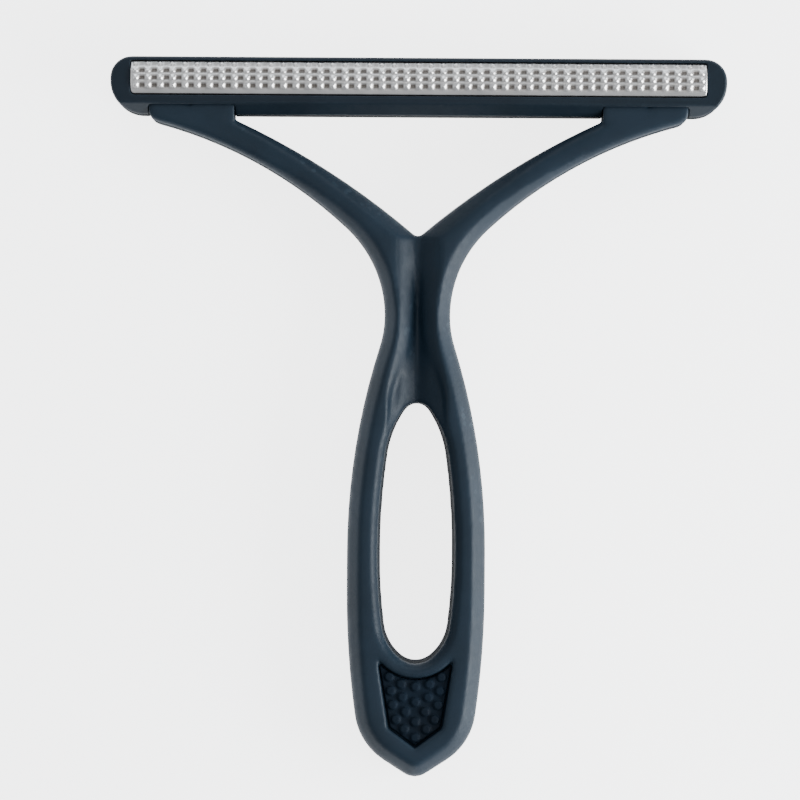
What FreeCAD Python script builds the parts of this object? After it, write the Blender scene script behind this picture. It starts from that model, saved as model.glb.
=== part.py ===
import FreeCAD, Part
import math
import os
import re
import Sketcher

# Sweater comb, millimetres.  +X runs along the comb strip, +Y from the tail towards the head and
# +Z out of the table.  The origin is the middle of the flat underside.
# Every piece is drawn about the parting plane of the handle; the sheet value half_thickness
# lifts that plane so that the rear rails and the rear comb strip rest on Z = 0.

DRIVING = [
    # how far an outline that cuts runs on past the face it cuts
    ("overcut", 1.0),
    # overall
    ("overall_length", 154.0),
    ("head_width", 132.1),
    ("half_thickness", 7.0),
    # head frame
    ("head_height", 12.3),
    ("head_half", 6.0),
    ("head_top_radius", 4.6),
    ("head_low_radius", 7.0),
    ("ledge_height", 2.45),
    ("ledge_depth", 2.6),
    ("head_edge_bevel", 0.4),
    # comb strip
    ("strip_height", 7.25),
    ("strip_end_margin", 4.35),
    ("strip_top_margin", 0.95),
    ("strip_wall", 0.4),
    ("strip_corner_radius", 0.9),
    ("strip_crown_radius", 5.5),
    ("strip_flange", 1.35),
    ("ridge_height", 0.45),
    ("plain_border", 1.04),
    ("ridge_end_margin", 0.45),
    ("ridge_top_margin", 0.05),
    ("notch_pitch", 2.635),
    ("notch_width", 1.7),
    ("notch_overcut", 0.05),
    ("seat_gap", 0.05),
    ("crown_gap", 0.3),
    # arms
    ("arm_half", 5.3),
    ("arm_inset", 8.25),
    ("tenon_width", 18.3),
    ("tenon_length", 2.7),
    ("arm_corner_radius", 2.6),
    ("arm_corner_drop", 1.8),
    ("arm_radius", 95.6),
    ("window_radius", 165.5),
    ("window_corner_radius", 0.6),
    ("crotch_radius", 1.3),
    ("crotch_drop", 25.8),
    ("arm_slope_start", 2.6),
    ("arm_slope_length", 27.0),
    # waist and loop
    ("waist_half", 7.03),
    ("waist_drop", 43.0),
    ("waist_radius_up", 25.9),
    ("waist_radius_low", 21.5),
    ("loop_half", 14.82),
    ("side_top_rise", 48.2),
    ("side_low_rise", 39.8),
    ("side_radius", 187.0),
    ("shoulder_radius", 13.75),
    ("flank_angle", 32.8),
    ("tail_radius", 4.2),
    # loop hole
    ("hole_half", 7.67),
    ("hole_top_drop", 61.8),
    ("hole_widest_rise", 47.85),
    ("hole_low_rise", 24.9),
    ("hole_top_radius", 3.0),
    ("hole_arch_radius", 22.1),
    ("hole_arch_turn", 34.7),
    ("hole_corner_radius", 10.15),
    ("hole_low_radius", 4.85),
    ("hole_corner_turn", 50.8),
    ("hole_draft", 6.0),
    # bevels of the moulding
    ("outer_bevel_width", 2.6),
    ("outer_bevel_depth", 2.8),
    ("window_bevel_width", 3.0),
    ("window_bevel_depth", 2.9),
    ("rim_bevel_width", 1.3),
    ("rim_bevel_depth", 1.4),
    # shield recess and grip pad
    ("shield_half", 8.3),
    ("shield_top_rise", 25.9),
    ("shield_arch_rise", 21.4),
    ("shield_foot_half", 5.9),
    ("shield_foot_rise", 10.4),
    ("shield_tip_rise", 6.1),
    ("shield_depth", 2.6),
    ("shield_draft", 8.0),
    ("pad_thickness", 1.3),
    ("pad_gap", 0.2),
    ("dot_radius", 0.95),
    ("dot_height", 0.55),
    ("dot_root", 0.2),
    ("valley_end_undercut", 0.15),
    # locating pins between the shells
    ("arm_pin_drop", 19.0),
    ("arm_pin_x", 15.0),
    ("loop_pin_x", 11.0),
    ("tail_pin_x", 9.6),
    ("tail_pin_rise", 18.5),
    ("pin_radius", 1.6),
    ("pin_length", 2.6),
    ("pin_gap", 0.3),
]

SAME_LEVEL = 0.0001                 # how close two levels or sizes count as one
NEAR_EDGE = 0.05                    # how close to a curve an edge of it is looked for
RIDGES = 4
NOTCHES = 46

# The valley between the rails, from the crotch down into the loop hole.  Each section has its
# place along Y, then half of its profile from the ridge in to the middle: the ridge's half
# width, then half width and level of the knee, the foot and the web, and the floor's level.
VALLEY = {
    "one": ("crotch_y + 2", 5.5, 3.5, 6.3, 1.2, 4.9, 0.5, 4.6, 4.5),
    "two": ("crotch_y - 4.4", 5.4, 3.4, 6.2, 1.1, 4.7, 0.5, 4.35, 4.25),
    "three": ("crotch_y - 10.8", 5.0, 3.2, 6.1, 1.0, 4.4, 0.5, 3.75, 3.5),
    "four": ("waist_level + 1.3", 4.1, 2.8, 6.0, 1.1, 4.5, 0.6, 3.3, 2.7),
    "five": ("waist_level - 5.2", 4.4, 3.1, 6.0, 1.7, 4.8, 1.2, 3.7, 2.4),
    "six": ("hole_top + 7.2", 5.8, 4.6, 6.1, 3.5, 4.9, 2.5, 4.4, 2.5),
    "seven": ("hole_top + 1.8", 6.5, 5.9, 6.2, 5.2, 5.1, 3.4, 4.5, 2.3),
    "eight": ("hole_top - 6", 7.1, 6.4, 6.3, 5.6, 5.6, 4.0, 4.6, 2.2),
}
VALLEY_SIZES = ("ridge", "knee_x", "knee", "foot_x", "foot", "web_x", "web", "floor")

# Dots of the grip pad, right half: across as a share of shield_half, up as a share of the
# height from the shield's tip to the top of its arch
DOTS_MIDDLE = (0.160, 0.378, 0.655, 0.871)
DOTS_ASIDE = ((0.285, 0.277), (0.500, 0.412), (0.254, 0.520), (0.585, 0.615), (0.332, 0.723),
              (0.633, 0.811), (0.363, 0.905), (0.673, 1.007))

doc = FreeCAD.newDocument("SweaterComb")
sheet = doc.addObject("Spreadsheet::Sheet", "Sizes")
aliases = []


def cell(alias, content):
    """Puts one value or formula in the next row of the sheet, under a name."""
    row = len(aliases) + 1
    sheet.set(f"A{row}", alias)
    sheet.set(f"B{row}", content)
    sheet.setAlias(f"B{row}", alias)
    aliases.append(alias)


def derive(alias, formula):
    cell(alias, "=" + formula)


def linked(expression):
    """The expression with every sheet name written as Sizes.name."""
    return re.sub(r"[a-z][a-z_]*[a-z]", lambda m: f"Sizes.{m[0]}" if m[0] in aliases else m[0],
                  expression)


def number(expression):
    return float(sheet.evalExpression(linked(expression)))


def derive_meeting(name, first, second, side):
    """Where two circles (x, y, radius) cross: cells name_x and name_y, on the given side."""
    x_one, y_one, r_one = first
    x_two, y_two, r_two = second
    derive(f"{name}_run", f"({x_two}) - ({x_one})")
    derive(f"{name}_climb", f"({y_two}) - ({y_one})")
    derive(f"{name}_apart", f"hypot({name}_run; {name}_climb)")
    derive(f"{name}_along", f"(({r_one})^2 - ({r_two})^2 + {name}_apart^2) / (2 * {name}_apart)")
    derive(f"{name}_aside", f"{side} * sqrt(({r_one})^2 - {name}_along^2)")
    derive(f"{name}_x", f"{x_one} + ({name}_along * {name}_run - {name}_aside * {name}_climb)"
                        f" / {name}_apart")
    derive(f"{name}_y", f"{y_one} + ({name}_along * {name}_climb + {name}_aside * {name}_run)"
                        f" / {name}_apart")


def derive_between(name, first, second, share):
    """The point at a share of the way from one centre to another: name_x and name_y."""
    derive(f"{name}_x", f"{first[0]} + ({share}) * (({second[0]}) - ({first[0]}))")
    derive(f"{name}_y", f"{first[1]} + ({share}) * (({second[1]}) - ({first[1]}))")


def fill_sheet():
    for alias, size in DRIVING:
        cell(alias, str(size))
    for step, (_, *sizes) in VALLEY.items():
        for name, size in zip(VALLEY_SIZES, sizes):
            cell(f"valley_{step}_{name}", str(size))
    # levels along Y
    derive("head_top", "overall_length / 2")
    derive("tail_tip", "0 - overall_length / 2")
    derive("head_low", "head_top - head_height")
    derive("tenon_top", "head_low + tenon_length")
    derive("waist_level", "head_low - waist_drop")
    derive("side_top", "tail_tip + side_top_rise")
    derive("side_low", "tail_tip + side_low_rise")
    derive("head_end", "head_width / 2")
    derive("tenon_out", "head_end - arm_inset")
    derive("tenon_in", "tenon_out - tenon_width")
    # arm: concave arc tangent to the upper waist arc and to the rounded outer corner
    derive("waist_up_x", "waist_half + waist_radius_up")
    derive("corner_x", "tenon_out - arm_corner_radius")
    derive("corner_y", "head_low - arm_corner_drop + arm_corner_radius")
    derive_meeting("arm", ("waist_up_x", "waist_level", "arm_radius - waist_radius_up"),
                   ("corner_x", "corner_y", "arm_radius + arm_corner_radius"), -1)
    derive_between("arm_foot", ("arm_x", "arm_y"), ("waist_up_x", "waist_level"),
                   "arm_radius / (arm_radius - waist_radius_up)")
    derive_between("arm_corner", ("arm_x", "arm_y"), ("corner_x", "corner_y"),
                   "arm_radius / (arm_radius + arm_corner_radius)")
    derive("arm_end_x", "tenon_out + arm_corner_radius")
    derive("arm_end_y", "arm_y + sqrt(arm_radius^2 - (arm_end_x - arm_x)^2)")
    # waist to loop: two arcs tangent where they meet
    derive("side_radius_up", "((waist_level - side_top)^2 + (loop_half - waist_half)^2)"
                             " / (2 * (loop_half - waist_half)) - waist_radius_low")
    derive_between("swell", ("waist_half + waist_radius_low", "waist_level"),
                   ("loop_half - side_radius_up", "side_top"),
                   "waist_radius_low / (waist_radius_low + side_radius_up)")
    # tail: side arc, shoulder arc, straight flank and rounded tip, all tangent
    derive("tail_centre", "tail_tip + tail_radius")
    derive("side_centre", "loop_half - side_radius")
    derive("flank_out", "sin(flank_angle)")
    derive("flank_down", "0 - cos(flank_angle)")
    derive("shoulder_line", "tail_radius - shoulder_radius")
    derive("shoulder_base_x", "shoulder_line * flank_out")
    derive("shoulder_base_y", "tail_centre + shoulder_line * flank_down")
    derive("shoulder_foot", "(side_centre - shoulder_base_x) * (0 - flank_down)"
                            " + (side_low - shoulder_base_y) * flank_out")
    derive("shoulder_off", "(side_centre - shoulder_base_x) * flank_out"
                           " + (side_low - shoulder_base_y) * flank_down")
    derive("shoulder_run", "shoulder_foot + sqrt((side_radius - shoulder_radius)^2"
                           " - shoulder_off^2)")
    derive("shoulder_x", "shoulder_base_x - shoulder_run * flank_down")
    derive("shoulder_y", "shoulder_base_y + shoulder_run * flank_out")
    derive_between("hip", ("side_centre", "side_low"), ("shoulder_x", "shoulder_y"),
                   "side_radius / (side_radius - shoulder_radius)")
    # window between the arms
    derive("crotch_y", "head_low - crotch_drop + crotch_radius")
    derive("nook_x", "tenon_in - window_corner_radius")
    derive("nook_y", "head_low - window_corner_radius")
    derive_meeting("window", ("0", "crotch_y", "window_radius + crotch_radius"),
                   ("nook_x", "nook_y", "window_radius + window_corner_radius"), -1)
    derive_between("crotch_end", ("window_x", "window_y"), ("0", "crotch_y"),
                   "window_radius / (window_radius + crotch_radius)")
    derive_between("nook_end", ("window_x", "window_y"), ("nook_x", "nook_y"),
                   "window_radius / (window_radius + window_corner_radius)")
    derive("window_reach", "window_x - sqrt(window_radius^2 - (tenon_top - window_y)^2)")
    # loop hole: each side arc is tangent to the arch above it and to the corner below it
    derive("hole_top", "head_low - hole_top_drop")
    derive("hole_low", "tail_tip + hole_low_rise")
    derive("hole_widest", "tail_tip + hole_widest_rise")
    derive("cap_y", "hole_top - hole_top_radius")
    derive("arch_x", "0 - (hole_arch_radius - hole_top_radius) * cos(hole_arch_turn)")
    derive("arch_y", "cap_y - (hole_arch_radius - hole_top_radius) * sin(hole_arch_turn)")
    derive("hole_radius_up", "(hole_arch_radius^2 - (arch_x - hole_half)^2"
                             " - (arch_y - hole_widest)^2)"
                             " / (2 * (arch_x - hole_half + hole_arch_radius))")
    derive_between("arch_end", ("hole_half - hole_radius_up", "hole_widest"),
                   ("arch_x", "arch_y"), "hole_radius_up / (hole_radius_up - hole_arch_radius)")
    derive("cup_y", "hole_low + hole_low_radius")
    derive("bend_x", "0 - (hole_corner_radius - hole_low_radius) * cos(hole_corner_turn)")
    derive("bend_y", "cup_y + (hole_corner_radius - hole_low_radius) * sin(hole_corner_turn)")
    derive("hole_radius_low", "(hole_corner_radius^2 - (bend_x - hole_half)^2"
                              " - (bend_y - hole_widest)^2)"
                              " / (2 * (bend_x - hole_half + hole_corner_radius))")
    derive_between("bend_end", ("hole_half - hole_radius_low", "hole_widest"),
                   ("bend_x", "bend_y"), "hole_radius_low / (hole_radius_low - hole_corner_radius)")
    # comb strip
    derive("strip_half", "head_end - strip_end_margin")
    derive("strip_top", "head_top - strip_top_margin")
    derive("strip_low", "strip_top - strip_height")
    derive("ridge_top", "strip_top - ridge_top_margin")
    derive("ridge_pitch", f"(strip_height - ridge_top_margin - plain_border) / {RIDGES}")
    derive("crown_y", "(strip_top + strip_low) / 2")
    derive("crown_z", "half_thickness - ridge_height - strip_crown_radius")
    derive("strip_foot", "crown_z + sqrt(strip_crown_radius^2 - (strip_low - crown_y)^2)"
                         " - strip_flange")
    # the valley's last section meets the bevel of the loop hole's rim
    derive("rim_level", f"({VALLEY['eight'][0]}) - arch_y")
    derive("rim_foot", "half_thickness - rim_bevel_depth * cos(hole_draft)")
    derive("rim_ridge_x", "arch_x + valley_end_undercut + sqrt((hole_arch_radius"
                          " + rim_bevel_width + half_thickness * tan(hole_draft))^2"
                          " - rim_level^2)")
    derive("rim_foot_x", "arch_x + valley_end_undercut + sqrt((hole_arch_radius"
                         " + rim_foot * tan(hole_draft))^2 - rim_level^2)")
    # side profile of the arms
    derive("slope_low", "crotch_y - arm_slope_start")
    derive("slope_high", "slope_low + arm_slope_length")
    derive("slope_middle", "slope_low + arm_slope_length / 2")
    derive("slope_radius", "(arm_slope_length^2 + (half_thickness - arm_half)^2)"
                           " / (4 * (half_thickness - arm_half))")
    derive("tenon_middle", "tenon_in + tenon_width / 2")
    # shield recess, grip pad and pins
    derive("shield_arch_bulge", "shield_top_rise - shield_arch_rise")
    derive("shield_arch_radius", "(shield_half^2 + shield_arch_bulge^2)"
                                 " / (2 * shield_arch_bulge)")
    derive("shield_arch_y", "tail_tip + shield_arch_rise + shield_arch_radius")
    derive("shield_wall", "shield_depth * tan(shield_draft)")
    derive("shield_flank_slope", "(shield_foot_rise - shield_tip_rise) / shield_foot_half")
    derive("shield_flank_share", "sqrt(1 + shield_flank_slope^2)")
    derive("pad_floor", "half_thickness - shield_depth")
    derive("dots_low", "tail_tip + shield_tip_rise")
    derive("dots_reach", "shield_arch_rise - shield_tip_rise")
    derive("arm_pin_y", "head_low - arm_pin_drop")
    derive("loop_pin_y", "hole_widest")
    derive("tail_pin_y", "tail_tip + tail_pin_rise")


fill_sheet()
doc.recompute()


def origin_plane(body, role):
    return next(f for f in body.Origin.OriginFeatures if f.Role == role)


def attach(sketch, body, role, offset="0"):
    """Lays a sketch on an origin plane of its body, moved along the plane's normal."""
    sketch.AttachmentSupport = [(origin_plane(body, role), "")]
    sketch.MapMode = "FlatFace"
    sketch.setExpression("AttachmentOffset.Base.z", linked(offset))


def arc_centre(start, end, radius, turn):
    """Centre of the arc under half a turn from start to end; turn is 1 left, -1 right."""
    half = (end - start) * 0.5
    height = math.sqrt(max(radius * radius - half.Length ** 2, 0.0))
    aside = FreeCAD.Vector(-half.y, half.x, 0).normalize()
    return start + half + aside * (turn * height)


def bind(sketch, constraint, expression):
    index = sketch.addConstraint(constraint)
    sketch.setExpression(f"Constraints[{index}]", linked(expression))


def profile(body, name, role, corners, offset="0"):
    """A closed sketch.  Each corner is (x, y) or (x, y, radius, turn), where the last two say
    that the edge to the next corner is an arc.  All values are bound to the sheet."""
    sketch = body.newObject("Sketcher::SketchObject", name)
    attach(sketch, body, role, offset)
    draw(sketch, corners)
    return sketch


def draw(sketch, corners):
    """Draws and constrains the closed outline of a profile."""
    points = [FreeCAD.Vector(number(c[0]), number(c[1]), 0) for c in corners]
    up = FreeCAD.Vector(0, 0, 1)
    starts = []
    ends = []
    for i, corner in enumerate(corners):
        start = points[i]
        end = points[(i + 1) % len(points)]
        if len(corner) == 2:
            sketch.addGeometry(Part.LineSegment(start, end))
            starts.append(1)
            ends.append(2)
            continue
        radius, turn = number(corner[2]), corner[3]
        centre = arc_centre(start, end, radius, turn)
        first, last = (start, end) if turn > 0 else (end, start)
        angles = [math.atan2(p.y - centre.y, p.x - centre.x) for p in (first, last)]
        if angles[1] < angles[0]:
            angles[1] += 2 * math.pi
        sketch.addGeometry(Part.ArcOfCircle(Part.Circle(centre, up, radius), *angles))
        starts.append(1 if turn > 0 else 2)
        ends.append(2 if turn > 0 else 1)
    for i, corner in enumerate(corners):
        after = (i + 1) % len(corners)
        sketch.addConstraint(Sketcher.Constraint("Coincident", i, ends[i], after, starts[after]))
    for i, corner in enumerate(corners):
        for kind, expression, size in (("DistanceX", corner[0], points[i].x),
                                       ("DistanceY", corner[1], points[i].y)):
            bind(sketch, Sketcher.Constraint(kind, i, starts[i], size), expression)
        if len(corner) > 2:
            bind(sketch, Sketcher.Constraint("Radius", i, number(corner[2])), corner[2])


def circle(sketch, x, y, radius):
    """Adds a circle whose centre and radius are bound to the sheet."""
    centre = FreeCAD.Vector(number(x), number(y), 0)
    index = sketch.addGeometry(Part.Circle(centre, FreeCAD.Vector(0, 0, 1), number(radius)))
    if abs(centre.x) < SAME_LEVEL:
        sketch.addConstraint(Sketcher.Constraint("PointOnObject", index, 3, -2))
    else:
        bind(sketch, Sketcher.Constraint("DistanceX", index, 3, centre.x), x)
    bind(sketch, Sketcher.Constraint("DistanceY", index, 3, centre.y), y)
    bind(sketch, Sketcher.Constraint("Radius", index, number(radius)), radius)


def solid_feature(body, kind, name, sketch, length, backwards=False, both_sides=False):
    """A pad or pocket of a sketch; a pocket that removes nothing is an error."""
    before = body.Shape.Volume if body.Tip else 0.0
    feature = body.newObject(kind, name)
    feature.Profile = sketch
    feature.setExpression("Length", linked(length))
    feature.Reversed = backwards
    if both_sides:
        feature.SideType = "Symmetric"
    feature.Refine = True
    doc.recompute()
    if abs(body.Shape.Volume - before) < SAME_LEVEL:
        raise ValueError(f"{name} changes nothing")
    return feature


def pad(body, name, sketch, length, **how):
    return solid_feature(body, "PartDesign::Pad", name, sketch, length, **how)


def pocket(body, name, sketch, length, **how):
    return solid_feature(body, "PartDesign::Pocket", name, sketch, length, **how)


def mirror_across_x(body, name, features):
    """Repeats half-profile features on the other side of the centre line."""
    mirrored = body.newObject("PartDesign::Mirrored", name)
    mirrored.Originals = features
    mirrored.MirrorPlane = (origin_plane(body, "YZ_Plane"), [""])
    mirrored.Refine = True
    body.Tip = mirrored
    doc.recompute()
    return mirrored


def edge_names(shape, wanted):
    return [f"Edge{i + 1}" for i, edge in enumerate(shape.Edges) if wanted(edge)]


def edge_middle(edge):
    return edge.valueAt(edge.FirstParameter + 0.5 * (edge.LastParameter - edge.FirstParameter))


def bevel(body, name, wanted, width, depth):
    """A chamfer on the chosen edges of a level face, width across it and depth down the wall."""
    base = body.Tip
    feature = body.newObject("PartDesign::Chamfer", name)
    feature.Base = (base, edge_names(base.Shape, wanted))
    feature.ChamferType = "Two distances"
    feature.setExpression("Size", linked(width))
    feature.setExpression("Size2", linked(depth))
    doc.recompute()
    return feature


def place(piece, faces_back=False):
    """Puts a piece drawn about the parting plane in the assembly; the rear ones are turned
    half a turn about Y."""
    turn = FreeCAD.Rotation(FreeCAD.Vector(0, 1, 0), 180 if faces_back else 0)
    piece.Placement = FreeCAD.Placement(FreeCAD.Vector(0, 0, 0), turn)
    piece.setExpression("Placement.Base.z", linked("half_thickness"))


def new_body(label):
    body = doc.addObject("PartDesign::Body", label)
    body.Label = label
    return body


# ---------------------------------------------------------------- handle shells

def handle_outline():
    """Right half of the Y silhouette; the arm runs on past its tenon and is trimmed there."""
    return [
        ("0", "tenon_top"),
        ("0", "tail_tip", "tail_radius", 1),
        ("tail_radius * flank_out", "tail_centre + tail_radius * flank_down"),
        ("shoulder_x + shoulder_radius * flank_out",
         "shoulder_y + shoulder_radius * flank_down", "shoulder_radius", 1),
        ("hip_x", "hip_y", "side_radius", 1),
        ("loop_half", "side_low"),
        ("loop_half", "side_top", "side_radius_up", 1),
        ("swell_x", "swell_y", "waist_radius_low", -1),
        ("waist_half", "waist_level", "waist_radius_up", -1),
        ("arm_foot_x", "arm_foot_y", "arm_radius", -1),
        ("arm_end_x", "arm_end_y"),
        ("arm_end_x", "tenon_top"),
    ]


def hole_outline():
    return [
        ("0", "hole_low", "hole_low_radius", 1),
        ("hole_low_radius * cos(hole_corner_turn)",
         "cup_y - hole_low_radius * sin(hole_corner_turn)", "hole_corner_radius", 1),
        ("bend_end_x", "bend_end_y", "hole_radius_low", 1),
        ("hole_half", "hole_widest", "hole_radius_up", 1),
        ("arch_end_x", "arch_end_y", "hole_arch_radius", 1),
        ("hole_top_radius * cos(hole_arch_turn)",
         "cap_y + hole_top_radius * sin(hole_arch_turn)", "hole_top_radius", 1),
        ("0", "hole_top"),
    ]


def window_outline():
    return [
        ("0", "crotch_y - crotch_radius", "crotch_radius", 1),
        ("crotch_end_x", "crotch_end_y", "window_radius", -1),
        ("window_reach", "tenon_top"),
        ("window_reach", "tenon_top + overcut"),
        ("0", "tenon_top + overcut"),
    ]


def shield_outline(gap):
    """The shield in the tail, drawn in by a gap on every side."""
    reach = f"(shield_arch_radius + {gap})"
    tip = ("0", f"tail_tip + shield_tip_rise + {gap} * shield_flank_share")
    foot_x = f"shield_foot_half - {gap}"
    foot_y = (f"tail_tip + shield_foot_rise"
              f" + {gap} * (shield_flank_share - shield_flank_slope)")
    top_x = f"shield_half - {gap}"
    top_y = f"shield_arch_y - sqrt({reach}^2 - ({top_x})^2)"
    return [tip, (foot_x, foot_y), (top_x, top_y, reach, -1),
            (f"0 - ({top_x})", top_y), (f"0 - ({foot_x})", foot_y)]


def handle_shell(label, with_pins):
    body = new_body(label)
    outline = profile(body, label + "_outline", "XY_Plane", handle_outline())
    base = pad(body, label + "_base", outline, "half_thickness")
    hole = profile(body, label + "_hole_outline", "XY_Plane", hole_outline())
    loop_hole = pocket(body, label + "_loop_hole", hole, "half_thickness + overcut", backwards=True)
    loop_hole.setExpression("TaperAngle", linked("hole_draft"))
    window = profile(body, label + "_window_outline", "XY_Plane", window_outline())
    window_cut = pocket(body, label + "_window", window, "half_thickness + overcut", backwards=True)
    mirror_across_x(body, label + "_both_halves", [base, loop_hole, window_cut])
    bevel_rails(body, label)
    slope_arms(body, label)
    trim_arm_ends(body, label)
    cut_valley(body, label)
    cut_shield(body, label)
    if with_pins:
        add_pins(body, label, "pin_radius", "pin_length", pad)
    else:
        add_pins(body, label, "pin_radius + pin_gap", "pin_length + pin_gap", pocket)
    return body


def bevel_rails(body, label):
    """Bevels round the outside, the window and the loop hole, all on the level front face."""
    top = number("half_thickness")

    def on_top(edge):
        ends_level = all(abs(v.Z - top) < SAME_LEVEL for v in edge.Vertexes)
        return ends_level and abs(edge_middle(edge).z - top) < SAME_LEVEL

    def round_hole(edge):
        middle = edge_middle(edge)
        level = number("hole_low") - 2 < middle.y < number("hole_top") + 2
        return level and abs(middle.x) < number("hole_half") + 2

    def round_window(edge):
        middle = edge_middle(edge)
        reach = math.hypot(abs(middle.x) - number("window_x"), middle.y - number("window_y"))
        crotch = math.hypot(middle.x, middle.y - number("crotch_y"))
        return abs(reach - number("window_radius")) < NEAR_EDGE or crotch < 2 * number("crotch_radius")

    def round_outside(edge):
        middle = edge_middle(edge)
        on_tenon = abs(middle.x) > number("arm_end_x") - NEAR_EDGE
        at_end = on_tenon or middle.y > number("tenon_top") - NEAR_EDGE
        return not (round_hole(edge) or round_window(edge) or at_end)

    bevel(body, label + "_outer_bevel", lambda e: on_top(e) and round_outside(e),
          "outer_bevel_width", "outer_bevel_depth")
    bevel(body, label + "_window_bevel", lambda e: on_top(e) and round_window(e),
          "window_bevel_width", "window_bevel_depth")
    bevel(body, label + "_rim_bevel", lambda e: on_top(e) and round_hole(e),
          "rim_bevel_width", "rim_bevel_depth")


def slope_arms(body, label):
    """Thins the arms from the full thickness at the crotch to arm_half at the head, with a
    gentle S-shaped step made of two equal arcs."""
    slope = profile(body, label + "_side_outline", "YZ_Plane", [
        ("slope_low", "half_thickness", "slope_radius", -1),
        ("slope_middle", "(half_thickness + arm_half) / 2", "slope_radius", 1),
        ("slope_high", "arm_half"),
        ("tenon_top + overcut", "arm_half"),
        ("tenon_top + overcut", "half_thickness + overcut"),
        ("slope_low", "half_thickness + overcut"),
    ])
    pocket(body, label + "_arm_slope", slope, "2 * head_width", both_sides=True)


def trim_arm_ends(body, label):
    """Cuts the arm square at the tenon's outer side, with a rounded corner under the head, and
    fills the tenon out to its straight inner side."""
    trim = profile(body, label + "_corner_outline", "XY_Plane", [
        ("tenon_out", "tenon_top + overcut"),
        ("tenon_out", "corner_y", "arm_corner_radius", -1),
        ("arm_corner_x", "arm_corner_y"),
        ("arm_corner_x", "arm_corner_y - 3 * arm_corner_radius"),
        ("arm_end_x + overcut", "arm_corner_y - 3 * arm_corner_radius"),
        ("arm_end_x + overcut", "tenon_top + overcut"),
    ])
    corner = pocket(body, label + "_corner", trim, "half_thickness + overcut", backwards=True)
    tenon = profile(body, label + "_tenon_outline", "XY_Plane", [
        ("tenon_in", "tenon_top"),
        ("tenon_in", "nook_y", "window_corner_radius", -1),
        ("nook_end_x", "nook_end_y"),
        ("tenon_middle", "nook_end_y"),
        ("tenon_middle", "tenon_top"),
    ])
    block = pad(body, label + "_tenon", tenon, "arm_half")
    mirror_across_x(body, label + "_arm_ends", [corner, block])


def cut_valley(body, label):
    """The valley between the rails: a loft through its sections, the last of which runs on
    in the bevel of the loop hole's rim."""
    sections = []
    for step, (level, *_) in VALLEY.items():
        name = f"valley_{step}"
        right = [("0", f"{name}_floor"), (f"{name}_web_x", f"{name}_web"),
                 (f"{name}_foot_x", f"{name}_foot"), (f"{name}_knee_x", f"{name}_knee"),
                 (f"{name}_ridge", "half_thickness"), (f"{name}_ridge", "half_thickness + overcut")]
        if step == "eight":
            right[2:] = [("rim_foot_x", "rim_foot"),
                         ("(rim_foot_x + rim_ridge_x) / 2", "(rim_foot + half_thickness) / 2"),
                         ("rim_ridge_x", "half_thickness"), ("rim_ridge_x", "half_thickness + overcut")]
        left = [(f"0 - ({x})", z) for x, z in reversed(right[1:])]
        sections.append(profile(body, f"{label}_{name}", "XZ_Plane", right + left,
                                f"0 - ({level})"))
    loft_cut(body, label + "_valley", sections)


def loft_cut(body, name, sections, ruled=False):
    doc.recompute()
    cut = body.newObject("PartDesign::SubtractiveLoft", name)
    cut.Profile = sections[0]
    cut.Sections = sections[1:]
    cut.Ruled = ruled
    cut.Refine = True
    doc.recompute()


def cut_shield(body, label):
    """The shield-shaped recess in the tail, a little wider at its mouth than at its floor."""
    floor = profile(body, label + "_shield_floor", "XY_Plane", shield_outline("shield_wall"),
                    "pad_floor")
    mouth = profile(body, label + "_shield_mouth", "XY_Plane",
                    shield_outline("(0 - overcut * tan(shield_draft))"),
                    "half_thickness + overcut")
    loft_cut(body, label + "_shield", [floor, mouth], ruled=True)


def add_pins(body, label, radius, length, feature):
    """Round pins, or the sockets for them, on the parting plane in pairs down the rails."""
    made = []
    for word in ("arm", "loop", "tail"):
        sketch = body.newObject("Sketcher::SketchObject", f"{label}_{word}_pin_circle")
        attach(sketch, body, "XY_Plane")
        circle(sketch, f"{word}_pin_x", f"{word}_pin_y", radius)
        made.append(feature(body, f"{label}_{word}_pin", sketch, length, backwards=True))
    return mirror_across_x(body, label + "_pins", made)


# ---------------------------------------------------------------- head frames

def head_outline():
    """Right half of the head's long rounded outline."""
    return [
        ("0", "head_low"),
        ("head_end - head_low_radius", "head_low", "head_low_radius", 1),
        ("head_end", "head_low + head_low_radius"),
        ("head_end", "head_top - head_top_radius", "head_top_radius", 1),
        ("head_end - head_top_radius", "head_top"),
        ("0", "head_top"),
    ]


def head_frame(label):
    body = new_body(label)
    outline = profile(body, label + "_outline", "XY_Plane", head_outline())
    base = pad(body, label + "_base", outline, "head_half")
    mirror_across_x(body, label + "_both_halves", [base])
    bevel_bezel(body, label)
    ledge = profile(body, label + "_ledge_outline", "YZ_Plane", [
        ("head_low - overcut", "head_half - ledge_depth * (1 + overcut / ledge_height)"),
        ("head_low + ledge_height", "head_half"),
        ("head_low + ledge_height", "head_half + overcut"),
        ("head_low - overcut", "head_half + overcut"),
    ])
    pocket(body, label + "_ledge", ledge, "2 * head_width", both_sides=True)
    slot = profile(body, label + "_slot_outline", "XY_Plane", [
        ("0", "strip_low - seat_gap"),
        ("strip_half + seat_gap - strip_corner_radius", "strip_low - seat_gap",
         "strip_corner_radius", 1),
        ("strip_half + seat_gap", "strip_low - seat_gap + strip_corner_radius"),
        ("strip_half + seat_gap", "strip_top + seat_gap"),
        ("0", "strip_top + seat_gap"),
    ])
    slot_cut = pocket(body, label + "_slot", slot, "head_half + overcut", backwards=True)
    socket = profile(body, label + "_socket_outline", "XY_Plane", [
        ("tenon_in - seat_gap", "head_low - overcut"),
        ("tenon_out + seat_gap", "head_low - overcut"),
        ("tenon_out + seat_gap", "tenon_top + seat_gap"),
        ("tenon_in - seat_gap", "tenon_top + seat_gap"),
    ])
    socket_cut = pocket(body, label + "_socket", socket, "arm_half + seat_gap", backwards=True)
    mirror_across_x(body, label + "_slots", [slot_cut, socket_cut])
    return body


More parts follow.
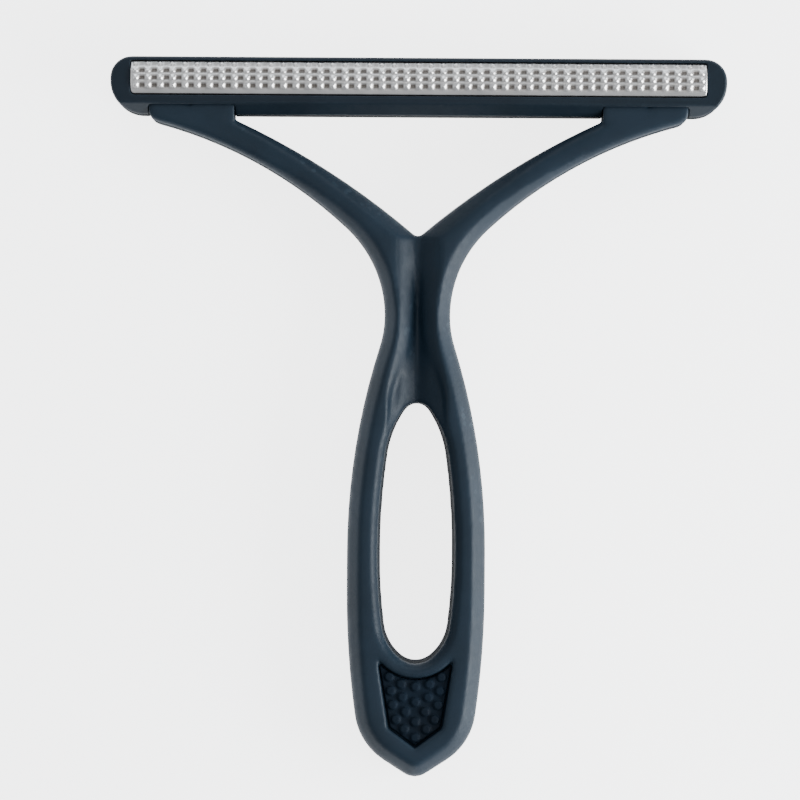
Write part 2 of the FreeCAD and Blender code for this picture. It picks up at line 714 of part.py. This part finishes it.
def bevel_bezel(body, label):
    """A narrow bevel along the top and ends of the bezel."""
    face_level = number("head_half")

    def bezel_edge(edge):
        level = all(abs(v.Z - face_level) < SAME_LEVEL for v in edge.Vertexes)
        return level and edge_middle(edge).y > number("head_low") + NEAR_EDGE

    bevel(body, label + "_edge_bevel", bezel_edge, "head_edge_bevel", "head_edge_bevel")


# ---------------------------------------------------------------- comb strips and their bar

def crown_point(radius, level):
    """Sheet formulas for the point of the crown arc of a radius at a given Y."""
    return (level, f"crown_z + sqrt(({radius})^2 - (({level}) - crown_y)^2)")


def comb_plate(label):
    """Pressed strip: four ridges over a crowned back, notched across into rows of studs, with
    its long edges and ends folded down into the slot of the frame."""
    body = new_body(label)
    outer = "strip_crown_radius"
    inner = "strip_crown_radius - strip_wall"
    skin = profile(body, label + "_skin_section", "YZ_Plane", [
        (*crown_point(outer, "strip_low"), outer, -1),
        crown_point(outer, "strip_top"),
        ("strip_top", "strip_foot"),
        ("strip_low", "strip_foot"),
    ])
    pad(body, label + "_skin", skin, "2 * strip_half", both_sides=True)
    base = body.Tip
    corners = body.newObject("PartDesign::Fillet", label + "_corners")
    corners.Base = (base, edge_names(base.Shape, low_corner))
    corners.setExpression("Radius", linked("strip_corner_radius"))
    hollow = profile(body, label + "_hollow_section", "YZ_Plane", [
        (*crown_point(inner, "strip_low + strip_wall"), inner, -1),
        crown_point(inner, "strip_top - strip_wall"),
        ("strip_top - strip_wall", "strip_foot - overcut"),
        ("strip_low + strip_wall", "strip_foot - overcut"),
    ])
    pocket(body, label + "_hollow", hollow, "2 * (strip_half - strip_wall)", both_sides=True)
    ridges = []
    for step in range(RIDGES):
        ridges.append(crown_point(outer, f"ridge_top - {step} * ridge_pitch"))
        ridges.append(crown_point(f"{outer} + ridge_height",
                                  f"ridge_top - {step + 0.5} * ridge_pitch"))
    ridges.append(crown_point(outer, f"ridge_top - {RIDGES} * ridge_pitch"))
    middle = f"({outer} + {inner}) / 2"
    ridges.append((*crown_point(middle, f"ridge_top - {RIDGES} * ridge_pitch"), middle, -1))
    ridges.append(crown_point(middle, "ridge_top"))
    teeth = profile(body, label + "_ridge_section", "YZ_Plane", ridges)
    pad(body, label + "_ridges", teeth, "2 * (strip_half - ridge_end_margin)", both_sides=True)
    notch_ridges(body, label)
    return body


def low_corner(edge):
    """Whether an upright edge stands at one of the two lower corners of the strip."""
    middle = edge_middle(edge)
    upright = abs(edge.Vertexes[0].Z - edge.Vertexes[-1].Z) > 0.5
    return upright and abs(middle.y - number("strip_low")) < NEAR_EDGE


def notch_ridges(body, label):
    """A V notch across each ridge, square to the crown there, repeated along the strip."""
    first = f"(0 - {(NOTCHES - 1) / 2} * notch_pitch)"
    crest = "strip_crown_radius + ridge_height + notch_overcut"
    notches = []
    for step in range(RIDGES):
        sketch = body.newObject("Sketcher::SketchObject", f"{label}_notch_outline_{step + 1}")
        about_x = FreeCAD.Rotation(FreeCAD.Vector(1, 0, 0), 1)
        sketch.AttachmentOffset = FreeCAD.Placement(FreeCAD.Vector(0, 0, 0), about_x)
        attach(sketch, body, "XZ_Plane", "0 - crown_y")
        sketch.setExpression("AttachmentOffset.Base.y", linked("crown_z"))
        drop = f"(crown_y - ridge_top + {step + 0.5} * ridge_pitch)"
        tilt = f"asin({drop} / (strip_crown_radius + ridge_height))"
        sketch.setExpression("AttachmentOffset.Rotation.Angle", linked(tilt))
        draw(sketch, [(first, "strip_crown_radius"), (f"{first} + notch_width / 2", crest),
                      (f"{first} - notch_width / 2", crest)])
        notches.append(pocket(body, f"{label}_notch_{step + 1}", sketch, "ridge_pitch",
                              both_sides=True))
    row = body.newObject("PartDesign::LinearPattern", label + "_notches")
    row.Originals = notches
    row.Direction = (sketch, ["H_Axis"])
    row.Occurrences = NOTCHES
    row.setExpression("Length", linked(f"{NOTCHES - 1} * notch_pitch"))
    body.Tip = row
    doc.recompute()


def comb_backing_bar(label):
    """The core that both strips are pressed over; its faces follow the crown of the strips."""
    body = new_body(label)
    reach = "(strip_crown_radius - strip_wall - crown_gap)"
    top = "strip_top - strip_wall - seat_gap"
    low = "strip_low + strip_wall + seat_gap"
    front_low = crown_point(reach, low)
    front_top = crown_point(reach, top)
    section = profile(body, label + "_section", "YZ_Plane", [
        (*front_low, reach, -1),
        front_top,
        (top, f"0 - ({front_top[1]})", reach, -1),
        (low, f"0 - ({front_low[1]})"),
    ])
    pad(body, label + "_bar", section, "2 * (strip_half - strip_wall - crown_gap)",
        both_sides=True)
    return body


# ---------------------------------------------------------------- grip pads

def grip_pad(label):
    body = new_body(label)
    outline = profile(body, label + "_outline", "XY_Plane",
                      shield_outline("(shield_wall + pad_gap)"), "pad_floor")
    pad(body, label + "_base", outline, "pad_thickness")
    dots = body.newObject("Sketcher::SketchObject", label + "_dot_circles")
    attach(dots, body, "XY_Plane", "pad_floor + pad_thickness - dot_root")
    for up in DOTS_MIDDLE:
        circle(dots, "0", f"dots_low + {up} * dots_reach", "dot_radius")
    for across, up in DOTS_ASIDE:
        for side in (1, -1):
            circle(dots, f"{side * across} * shield_half", f"dots_low + {up} * dots_reach",
                   "dot_radius")
    pad(body, label + "_dots", dots, "dot_height + dot_root")
    return body


# ---------------------------------------------------------------- assembly

sub_parts = []


def add(piece, faces_back=False):
    place(piece, faces_back)
    sub_parts.append(piece)


add(handle_shell("handle_front_shell", True))
add(handle_shell("handle_rear_shell", False), faces_back=True)
add(head_frame("head_frame_front"))
add(head_frame("head_frame_rear"), faces_back=True)
add(comb_backing_bar("comb_backing_bar"))
add(comb_plate("comb_plate_front"))
add(comb_plate("comb_plate_rear"), faces_back=True)
add(grip_pad("grip_pad_front"))
add(grip_pad("grip_pad_rear"), faces_back=True)


def check_and_write():
    doc.recompute()
    for item in doc.Objects:
        if "Invalid" in item.State or "Error" in item.State:
            raise ValueError(f"{item.Name} failed: {item.State}")
    for piece in sub_parts:
        if piece.Shape.isNull() or not piece.Shape.isValid():
            raise ValueError(f"{piece.Label} has no valid shape")
    os.makedirs("parts", exist_ok=True)
    for piece in sub_parts:
        piece.Shape.exportStep(os.path.join("parts", piece.Label + ".step"))
        box = piece.Shape.BoundBox
        print(piece.Label, len(piece.Shape.Solids), round(piece.Shape.Volume, 1), box)


check_and_write()
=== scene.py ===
import bpy
import math
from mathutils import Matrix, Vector


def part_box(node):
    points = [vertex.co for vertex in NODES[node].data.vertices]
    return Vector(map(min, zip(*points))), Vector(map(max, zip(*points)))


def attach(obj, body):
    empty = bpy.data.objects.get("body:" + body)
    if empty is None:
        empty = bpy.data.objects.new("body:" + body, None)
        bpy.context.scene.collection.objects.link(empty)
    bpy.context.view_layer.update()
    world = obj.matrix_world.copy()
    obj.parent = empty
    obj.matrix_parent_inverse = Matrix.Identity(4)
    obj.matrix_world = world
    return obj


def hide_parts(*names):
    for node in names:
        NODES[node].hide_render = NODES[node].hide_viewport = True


# Metres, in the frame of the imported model: +X along the comb strip, +Y from the tail of the
# handle towards the head, +Z out of the front face, the underside resting on Z = 0.

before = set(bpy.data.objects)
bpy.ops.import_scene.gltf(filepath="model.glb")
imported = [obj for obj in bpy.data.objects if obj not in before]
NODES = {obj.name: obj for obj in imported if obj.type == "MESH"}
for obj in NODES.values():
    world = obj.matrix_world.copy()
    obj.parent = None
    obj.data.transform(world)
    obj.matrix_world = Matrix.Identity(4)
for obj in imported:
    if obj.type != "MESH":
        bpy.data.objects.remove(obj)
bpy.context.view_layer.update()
MM = 0.001
scene = bpy.context.scene


# ---------------------------------------------------------------- camera

FRAME_PIXELS = 800
PIXEL = 0.2139 * MM                 # what one pixel of the frame covers on the head's front face
HEAD_FACE = 13.0 * MM               # level of that face
FILM_WIDTH = 36.0
CAMERA_HEIGHT = 0.90
CAMERA_AIM = (-3.62 * MM, 3.72 * MM)
CAMERA_ROLL = math.radians(0.35)


def make_camera():
    """Looks straight down; the head's front face is PIXEL to the pixel."""
    data = bpy.data.cameras.new("camera")
    data.sensor_width = FILM_WIDTH
    data.lens = FILM_WIDTH * (CAMERA_HEIGHT - HEAD_FACE) / (FRAME_PIXELS * PIXEL)
    camera = bpy.data.objects.new("camera", data)
    camera.location = (*CAMERA_AIM, CAMERA_HEIGHT)
    camera.rotation_euler = (0.0, 0.0, CAMERA_ROLL)
    scene.collection.objects.link(camera)
    scene.camera = camera


# ---------------------------------------------------------------- light and floor

def area_light(name, place, size, power, colour=(1.0, 1.0, 1.0)):
    """A soft box that faces the middle of the object and isn't seen itself."""
    data = bpy.data.lights.new(name, "AREA")
    data.shape = "RECTANGLE"
    data.size, data.size_y = size
    data.energy = power
    data.color = colour
    lamp = bpy.data.objects.new(name, data)
    lamp.location = place
    lamp.rotation_euler = (-Vector(place)).to_track_quat("-Z", "Y").to_euler()
    lamp.visible_camera = False
    scene.collection.objects.link(lamp)


def make_lights():
    """A strong low light from the right, fill lights, one overhead, and a dim pale sky."""
    area_light("light_right", (0.46, -0.10, 0.20), (0.40, 0.26), 4.4, (0.93, 0.97, 1.0))
    area_light("light_left", (-0.74, 0.04, 0.34), (0.7, 0.42), 0.4, (0.92, 0.97, 1.0))
    area_light("light_low", (0.60, -0.40, 0.30), (0.6, 0.4), 1.4, (0.93, 0.97, 1.0))
    area_light("light_high", (0.0, 0.66, 0.42), (1.2, 0.4), 3.0, (0.85, 0.93, 1.0))
    area_light("light_top", (0.0, 0.0, 1.3), (0.7, 0.7), 1.6)
    world = bpy.data.worlds.new("studio")
    world.use_nodes = True
    sky = world.node_tree.nodes["Background"].inputs
    sky["Color"].default_value = (0.9, 0.95, 1.0, 1.0)
    sky["Strength"].default_value = 0.42
    scene.world = world


FLOOR_HALF = 8.0
FLOOR_LEVEL = -0.05 * MM            # just under the rails, so that no two faces share a plane
FLOOR_FINISH = {
    "Base Color": (0.93, 0.93, 0.93, 1.0),
    "Roughness": 0.9,
    "Specular IOR Level": 0.2,
    "Emission Color": (1.0, 1.0, 1.0, 1.0),
    "Emission Strength": 3.6,
}


def make_floor():
    """A pale sheet that is lit from behind as well, as on a light table."""
    mesh = bpy.data.meshes.new("floor")
    corners = [(across * FLOOR_HALF, along * FLOOR_HALF, 0)
               for across, along in ((-1, -1), (1, -1), (1, 1), (-1, 1))]
    mesh.from_pydata(corners, [], [(0, 1, 2, 3)])
    floor = bpy.data.objects.new("floor", mesh)
    scene.collection.objects.link(floor)
    floor.location.z = FLOOR_LEVEL
    material = bpy.data.materials.new("floor_sheet")
    material.use_nodes = True
    shader = material.node_tree.nodes["Principled BSDF"]
    for socket, value in FLOOR_FINISH.items():
        shader.inputs[socket].default_value = value
    mesh.materials.append(material)


# ---------------------------------------------------------------- materials

def noise(tree, place, scale, detail):
    made = tree.nodes.new("ShaderNodeTexNoise")
    made.inputs["Scale"].default_value = scale
    made.inputs["Detail"].default_value = detail
    tree.links.new(place, made.inputs["Vector"])
    return made.outputs["Fac"]


def ramp(tree, value, low, high, from_low=0.3, from_high=0.7):
    """Maps a value, which noise keeps near the middle, to between low and high."""
    made = tree.nodes.new("ShaderNodeMapRange")
    made.inputs["From Min"].default_value = from_low
    made.inputs["From Max"].default_value = from_high
    made.inputs["To Min"].default_value = low
    made.inputs["To Max"].default_value = high
    tree.links.new(value, made.inputs["Value"])
    return made.outputs["Result"]


def mix(tree, share, first, second):
    """Mixes two colours, each given as numbers or as another node's output."""
    made = tree.nodes.new("ShaderNodeMix")
    made.data_type = "RGBA"
    tree.links.new(share, made.inputs["Factor"])
    for socket, value in ((made.inputs["A"], first), (made.inputs["B"], second)):
        if isinstance(value, tuple):
            socket.default_value = (*value, 1.0)
        else:
            tree.links.new(value, socket)
    return made.outputs["Result"]


def arithmetic(tree, operation, *values):
    """A Math node over one or two outputs, kept between 0 and 1."""
    made = tree.nodes.new("ShaderNodeMath")
    made.operation = operation
    made.use_clamp = True
    for socket, value in zip(made.inputs, values):
        tree.links.new(value, socket)
    return made.outputs["Value"]


def bump(tree, height, strength, distance, before=None):
    made = tree.nodes.new("ShaderNodeBump")
    made.inputs["Strength"].default_value = strength
    made.inputs["Distance"].default_value = distance
    tree.links.new(height, made.inputs["Height"])
    if before is not None:
        tree.links.new(before, made.inputs["Normal"])
    return made.outputs["Normal"]


def shade(colour, share):
    return tuple(part * share for part in colour)


def start_material(name):
    material = bpy.data.materials.new(name)
    material.use_nodes = True
    tree = material.node_tree
    shader = tree.nodes["Principled BSDF"]
    place = tree.nodes.new("ShaderNodeTexCoord").outputs["Object"]
    return material, tree, shader, place


def upright_share(tree):
    """0 on faces that look up or down or slope, rising to 1 on upright walls."""
    normal = tree.nodes.new("ShaderNodeNewGeometry").outputs["Normal"]
    split = tree.nodes.new("ShaderNodeSeparateXYZ")
    tree.links.new(normal, split.inputs["Vector"])
    slope = arithmetic(tree, "ABSOLUTE", split.outputs["Z"])
    return ramp(tree, slope, 1.0, 0.0, 0.15, 0.45)


def edge_wear(tree, place):
    """Share of rubbed plastic: on raised edges only, and in patches."""
    raised = tree.nodes.new("ShaderNodeNewGeometry").outputs["Pointiness"]
    patches = noise(tree, place, 420.0, 4.0)
    return arithmetic(tree, "MULTIPLY", ramp(tree, raised, 0.0, 1.0, 0.505, 0.56),
                      ramp(tree, patches, 0.25, 1.0, 0.35, 0.65))


def moulded_plastic(name, colour, rough, worn):
    """Dark moulding with a fine spark-eroded grain, faint flow mottling and paler worn edges;
    the upright walls are rougher and less glossy, and their colour is darkened as painted shade."""
    material, tree, shader, place = start_material(name)
    mottle = noise(tree, place, 90.0, 3.0)
    soft = noise(tree, place, 700.0, 3.0)
    fine = noise(tree, place, 3500.0, 2.0)
    wall = upright_share(tree)
    tint = mix(tree, ramp(tree, mottle, 0.0, 1.0), shade(colour, 0.88), shade(colour, 1.12))
    tint = mix(tree, edge_wear(tree, place), tint, worn)
    # Painted shade: the colour on upright walls is darkened to 0.35 of the moulding's colour.
    tree.links.new(mix(tree, wall, tint, shade(colour, 0.35)), shader.inputs["Base Color"])
    dull = ramp(tree, wall, 0.0, 0.4, 0.0, 1.0)
    grainy = ramp(tree, soft, rough - 0.05, rough + 0.06)
    tree.links.new(arithmetic(tree, "ADD", grainy, dull), shader.inputs["Roughness"])
    tree.links.new(ramp(tree, wall, 0.21, 0.03, 0.0, 1.0), shader.inputs["Specular IOR Level"])
    ripple = bump(tree, soft, 0.10, 0.05 * MM)
    tree.links.new(bump(tree, fine, 0.5, 0.03 * MM, ripple), shader.inputs["Normal"])
    return material


def soft_rubber(name, colour):
    """Matt rubber, mottled, with a fine grain."""
    material, tree, shader, place = start_material(name)
    mottle = noise(tree, place, 160.0, 3.0)
    fine = noise(tree, place, 4200.0, 2.0)
    tint = mix(tree, ramp(tree, mottle, 0.0, 1.0), shade(colour, 0.8), shade(colour, 1.25))
    tree.links.new(tint, shader.inputs["Base Color"])
    tree.links.new(ramp(tree, mottle, 0.55, 0.7), shader.inputs["Roughness"])
    tree.links.new(bump(tree, fine, 0.4, 0.03 * MM), shader.inputs["Normal"])
    shader.inputs["Specular IOR Level"].default_value = 0.12
    return material


PRESSED = "pressed"                 # the mesh attribute that tells studs from hollows
PRESSED_FLAT = 0.6                  # its value where the studded field is level
PRESSED_PLAIN = 0.7                 # and on the plain sheet round the field


def pressed_steel(name):
    """Bright stainless sheet: rolled grain along the strip, faint smears, and painted shade: the
    hollows and low parts of the pressed pattern are painted dark and made rougher."""
    material, tree, shader, place = start_material(name)
    along = tree.nodes.new("ShaderNodeMapping")
    along.inputs["Scale"].default_value = (0.06, 1.0, 1.0)
    tree.links.new(place, along.inputs["Vector"])
    grain = noise(tree, along.outputs["Vector"], 5200.0, 3.0)
    smear = noise(tree, place, 210.0, 4.0)
    pressed = tree.nodes.new("ShaderNodeAttribute")
    pressed.attribute_name = PRESSED
    # Painted shade: the lower the pressed sheet lies, the darker its colour, down to near black
    # in the hollows.
    painted_hollow_shade = ramp(tree, pressed.outputs["Fac"], 1.0, 0.0, 0.44, 0.70)
    bright = mix(tree, ramp(tree, smear, 0.0, 1.0), (0.85, 0.825, 0.805), (0.93, 0.905, 0.885))
    tree.links.new(mix(tree, painted_hollow_shade, bright, (0.20, 0.178, 0.163)), shader.inputs["Base Color"])
    dull = ramp(tree, painted_hollow_shade, 0.0, 0.25, 0.0, 1.0)
    smeared = ramp(tree, smear, 0.28, 0.36)
    tree.links.new(arithmetic(tree, "ADD", smeared, dull), shader.inputs["Roughness"])
    tree.links.new(bump(tree, grain, 0.10, 0.01 * MM), shader.inputs["Normal"])
    shader.inputs["Metallic"].default_value = 1.0
    return material


# ---------------------------------------------------------------- carried-over nodes

def soften(name, voxel, passes, level_passes=0):
    """Rounds a node's moulded edges: an even skin, relaxed a little, over the same form. The
    level passes run the slopes into each other and leave the outline."""
    modifiers = NODES[name].modifiers
    skin = modifiers.new("even_skin", "REMESH")
    skin.mode = "VOXEL"
    skin.voxel_size = voxel
    skin.use_smooth_shade = True
    relax = modifiers.new("rounded_edges", "SMOOTH")
    relax.iterations = passes
    if level_passes:
        melt = modifiers.new("melted_slopes", "SMOOTH")
        melt.iterations = level_passes
        melt.use_x = melt.use_y = False


def paint(name, material):
    mesh = NODES[name].data
    mesh.materials.clear()
    mesh.materials.append(material)
    for face in mesh.polygons:
        face.material_index = 0


# ---------------------------------------------------------------- comb plates

# Millimetres, on the strip's own face: x along it, down from its top edge.
CROWN_RADIUS = 7.0
CROWN_DEPTH = 0.45                  # from the studs' tops down to the crown
SHEET = 0.35
EDGE_FOLD = 0.25
CORNER_RADIUS = 0.9
END_MARGIN = 0.55                   # plain sheet at the strip's ends
ROWS = 4
ROW_PITCH = 1.555
FIRST_ROW = 0.60                    # from the strip's top edge to the middle of the first row
ROW_REACH = 1.2                     # how far from its middle a row shapes the sheet
STUDS = 47
STUD_PITCH = 2.635
STUD_HEIGHT = 0.40
STUD_LONG, STUD_ACROSS = 0.56, 0.46
HOLLOW_DEPTH = 0.26
HOLLOW_LONG, HOLLOW_ACROSS = 0.42, 0.46
HOLLOW_ASIDE, HOLLOW_DOWN = 0.38, 0.04
LINE_HEIGHT = 0.08
LINE_ACROSS = 0.2
LINE_DOWN = 0.08
LINE_SWAY = 0.14
PAST_LAST_ROW = 0.55                # share of the pitch by which the studded field runs on
EDGE_ROW_SHARE = 0.35               # the row at the fold is pressed less deep
GRID_PER_STUD = 14
GRID_ROWS = 42


def bell(across, width):
    return math.exp(-(across / width) ** 2)


def emboss(x, down, half_long):
    """Height of the pressed pattern above the crown: rows of studs with a pair of hollows
    between each two, and a low scalloped line between the rows."""
    if abs(x) > half_long - END_MARGIN:
        return 0.0
    from_stud = x - round(x / STUD_PITCH) * STUD_PITCH
    from_gap = abs(from_stud) - STUD_PITCH / 2
    pair = sum(bell(from_gap + side * HOLLOW_ASIDE, HOLLOW_LONG) for side in (1, -1))
    sway = LINE_SWAY * math.cos(2 * math.pi * from_gap / STUD_PITCH)
    height = 0.0
    for row in range(ROWS):
        off = down - FIRST_ROW - row * ROW_PITCH
        if abs(off) > ROW_REACH:
            continue
        stud = bell(from_stud, STUD_LONG) * bell(off, STUD_ACROSS)
        hollow = pair * bell(off - HOLLOW_DOWN, HOLLOW_ACROSS)
        if row == 0:
            hollow *= EDGE_ROW_SHARE
        line = bell(off + 0.5 * ROW_PITCH - LINE_DOWN + sway, LINE_ACROSS)
        height += STUD_HEIGHT * stud - HOLLOW_DEPTH * hollow + LINE_HEIGHT * line
    return height


def fold_drop(x, y, half_long, low, top):
    """How far the sheet has turned down at a point near the strip's outline."""
    inset = min(half_long - abs(x), y - low, top - y)
    corner_x = half_long - CORNER_RADIUS
    corner_y = low + CORNER_RADIUS
    if abs(x) > corner_x and y < corner_y:
        inset = CORNER_RADIUS - math.hypot(abs(x) - corner_x, corner_y - y)
    inset = max(min(inset, EDGE_FOLD), 0.0)
    return EDGE_FOLD - math.sqrt(EDGE_FOLD ** 2 - (EDGE_FOLD - inset) ** 2)


def strip_places(half_long, low, top, columns):
    """Grid of places (x, y) over the strip, drawn in round the lower corners."""
    grid = []
    for row in range(GRID_ROWS + 1):
        y = low + (top - low) * row / GRID_ROWS
        reach = half_long
        if y < low + CORNER_RADIUS:
            short = low + CORNER_RADIUS - y
            reach -= CORNER_RADIUS - math.sqrt(max(CORNER_RADIUS ** 2 - short ** 2, 0.0))
        grid += [((2 * col / columns - 1) * reach, y) for col in range(columns + 1)]
    return grid


def grid_rim(columns):
    """The grid's outermost points in turn, from the first corner along the first row."""
    width = columns + 1
    rim = list(range(width))
    rim += [row * width + columns for row in range(1, GRID_ROWS + 1)]
    rim += [GRID_ROWS * width + col for col in range(columns - 1, -1, -1)]
    rim += [row * width for row in range(GRID_ROWS - 1, 0, -1)]
    return rim


def comb_plate(name, faces_back):
    """Pressed steel strip in the place of its CAD node: embossed skin, folded edges and the
    hollow behind it."""
    lowest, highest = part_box(name)
    half_long = (highest[0] - lowest[0]) / 2 / MM
    low, top = lowest[1] / MM, highest[1] / MM
    deep = (highest[2] - lowest[2]) / MM
    middle = (low + top) / 2
    centre = deep - CROWN_DEPTH - CROWN_RADIUS
    field_end = FIRST_ROW + (ROWS - 1 + PAST_LAST_ROW) * ROW_PITCH
    columns = STUDS * GRID_PER_STUD
    skin = []
    pressed = []
    for x, y in strip_places(half_long, low, top, columns):
        across = (y - middle) / CROWN_RADIUS
        rise = centre + CROWN_RADIUS * math.sqrt(1 - across ** 2)
        form = emboss(x, top - y, half_long)
        drop = fold_drop(x, y, half_long, low, top)
        skin.append((x, y, min(rise + form - drop, deep)))
        studded = top - y < field_end and abs(x) < half_long - END_MARGIN
        pressed.append(PRESSED_FLAT + form if studded else PRESSED_PLAIN)
    width = columns + 1
    faces = [(at, at + 1, at + width + 1, at + width)
             for row in range(GRID_ROWS) for at in range(row * width, row * width + columns)]
    rim = grid_rim(columns)
    foot = len(skin)
    skin += [(skin[i][0], skin[i][1], 0.0) for i in rim]
    pressed += [PRESSED_PLAIN] * len(rim)
    for i in range(len(rim)):
        after = (i + 1) % len(rim)
        faces.append((rim[after], rim[i], foot + i, foot + after))
    if faces_back:
        faces = [tuple(reversed(face)) for face in faces]
        points = [(x * MM, y * MM, highest[2] - z * MM) for x, y, z in skin]
    else:
        points = [(x * MM, y * MM, lowest[2] + z * MM) for x, y, z in skin]
    mesh = bpy.data.meshes.new(name + "_pressed")
    mesh.from_pydata(points, [], faces)
    for face in mesh.polygons:
        face.use_smooth = True
    mesh.attributes.new(PRESSED, "FLOAT", "POINT").data.foreach_set("value", pressed)
    plate = bpy.data.objects.new(name + "_pressed", mesh)
    scene.collection.objects.link(plate)
    gauge = plate.modifiers.new("sheet", "SOLIDIFY")
    gauge.thickness = SHEET * MM
    gauge.offset = -1.0
    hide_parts(name)
    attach(plate, "root")
    return plate


# ---------------------------------------------------------------- the whole scene

make_camera()
make_lights()
make_floor()

handle_plastic = moulded_plastic("handle_plastic", (0.0098, 0.0200, 0.0325), 0.44,
                                 (0.018, 0.032, 0.047))
frame_plastic = moulded_plastic("frame_plastic", (0.0068, 0.0135, 0.0215), 0.46,
                                (0.015, 0.026, 0.038))
core_plastic = moulded_plastic("core_plastic", (0.02, 0.02, 0.022), 0.6, (0.03, 0.03, 0.03))
grip_rubber = soft_rubber("grip_rubber", (0.0038, 0.0092, 0.0170))
comb_steel = pressed_steel("comb_steel")

for side in ("front", "rear"):
    paint(f"handle_{side}_shell", handle_plastic)
    paint(f"head_frame_{side}", frame_plastic)
    paint(f"grip_pad_{side}", grip_rubber)
    soften(f"handle_{side}_shell", voxel=0.35 * MM, passes=7, level_passes=45)
    soften(f"head_frame_{side}", voxel=0.25 * MM, passes=4)
    soften(f"grip_pad_{side}", voxel=0.16 * MM, passes=8)
    plate = comb_plate(f"comb_plate_{side}", side == "rear")
    plate.data.materials.append(comb_steel)
paint("comb_backing_bar", core_plastic)
